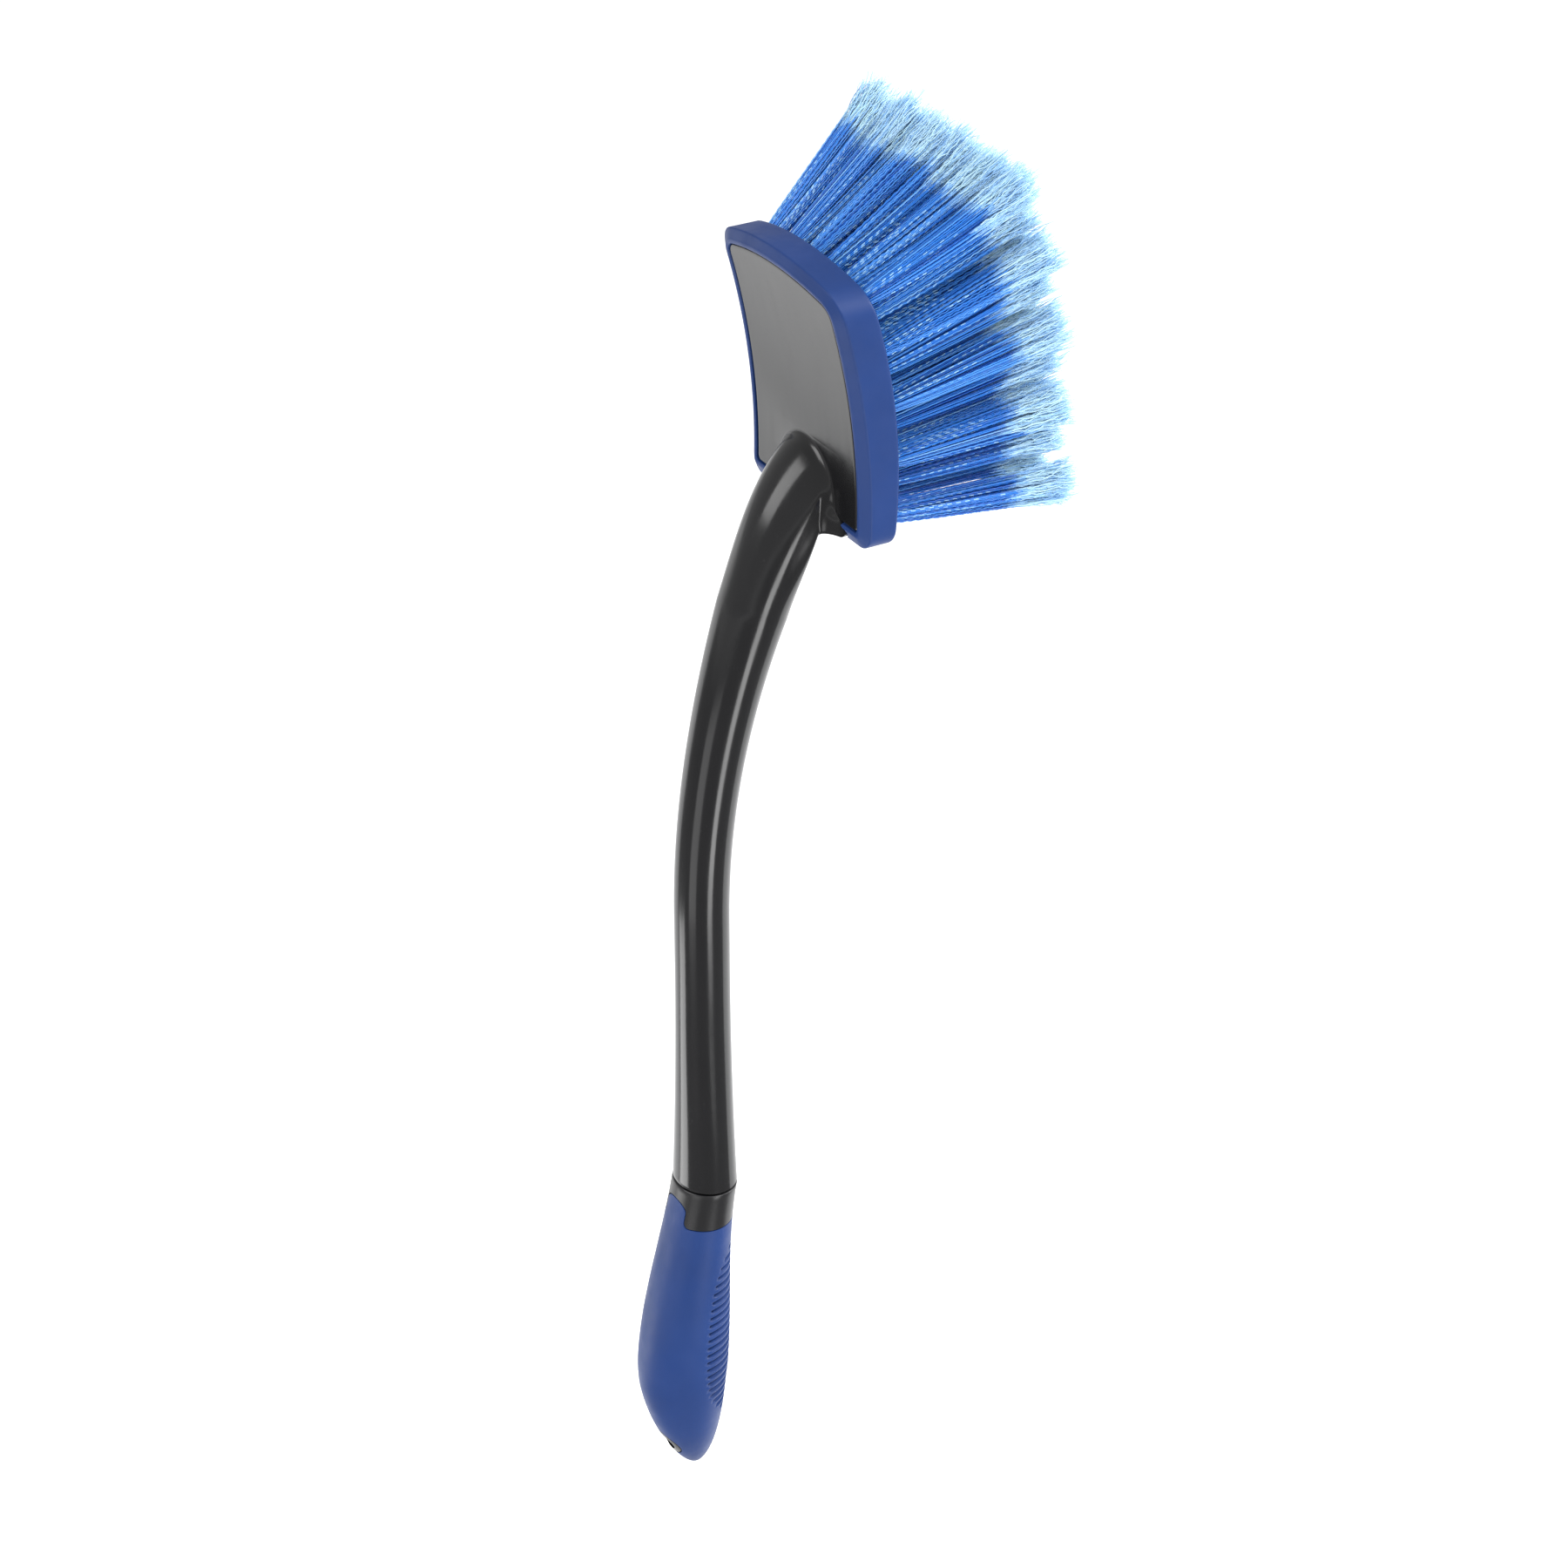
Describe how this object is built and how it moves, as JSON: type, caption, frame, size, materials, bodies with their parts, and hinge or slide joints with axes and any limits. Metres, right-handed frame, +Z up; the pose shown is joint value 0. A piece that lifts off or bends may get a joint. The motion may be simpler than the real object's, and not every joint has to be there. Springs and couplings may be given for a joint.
{
  "type": "wheel brush",
  "caption": "Hand brush for washing wheels: curved handle, soft-sleeved grip with a ribbed finger pad and hanging eye, and a bowed rectangular head with splayed bristle tufts.",
  "frame": {"origin": "on the grip's axis, in the middle of the hand's hold (mount hand_hold)", "axes": "+Z up along the handle from the grip's tip to the head, +X towards the bristle tips, Y = 0 is the plane of symmetry"},
  "size_m": [0.1268, 0.0884, 0.4366],
  "materials": {
    "gloss_black": "gloss",
    "grip_black": "satin",
    "blue_tpr": "satin",
    "bristle_blue": "satin"
  },
  "bodies": {
    "root": {"handle_moulding": "gloss_black", "bumper_rim": "blue_tpr", "grip_core": "grip_black", "grip_sleeve": "blue_tpr", "tuft_row1_1": "bristle_blue", "tuft_row1_2": "bristle_blue", "tuft_row1_3": "bristle_blue", "tuft_row1_4": "bristle_blue", "tuft_row1_5": "bristle_blue", "tuft_row1_6": "bristle_blue", "tuft_row2_1": "bristle_blue", "tuft_row2_2": "bristle_blue", "tuft_row2_3": "bristle_blue", "tuft_row2_4": "bristle_blue", "tuft_row2_5": "bristle_blue", "tuft_row3_1": "bristle_blue", "tuft_row3_2": "bristle_blue", "tuft_row3_3": "bristle_blue", "tuft_row3_4": "bristle_blue", "tuft_row3_5": "bristle_blue", "tuft_row3_6": "bristle_blue", "tuft_row4_1": "bristle_blue", "tuft_row4_2": "bristle_blue", "tuft_row4_3": "bristle_blue", "tuft_row4_4": "bristle_blue", "tuft_row4_5": "bristle_blue", "tuft_row5_1": "bristle_blue", "tuft_row5_2": "bristle_blue", "tuft_row5_3": "bristle_blue", "tuft_row5_4": "bristle_blue", "tuft_row5_5": "bristle_blue", "tuft_row5_6": "bristle_blue", "tuft_row6_1": "bristle_blue", "tuft_row6_2": "bristle_blue", "tuft_row6_3": "bristle_blue", "tuft_row6_4": "bristle_blue", "tuft_row6_5": "bristle_blue", "tuft_row7_1": "bristle_blue", "tuft_row7_2": "bristle_blue", "tuft_row7_3": "bristle_blue", "tuft_row7_4": "bristle_blue", "tuft_row7_5": "bristle_blue", "tuft_row7_6": "bristle_blue", "tuft_row8_1": "bristle_blue", "tuft_row8_2": "bristle_blue", "tuft_row8_3": "bristle_blue", "tuft_row8_4": "bristle_blue", "tuft_row8_5": "bristle_blue", "tuft_row9_1": "bristle_blue", "tuft_row9_2": "bristle_blue", "tuft_row9_3": "bristle_blue", "tuft_row9_4": "bristle_blue", "tuft_row9_5": "bristle_blue", "tuft_row9_6": "bristle_blue"}
  },
  "joints": []
}
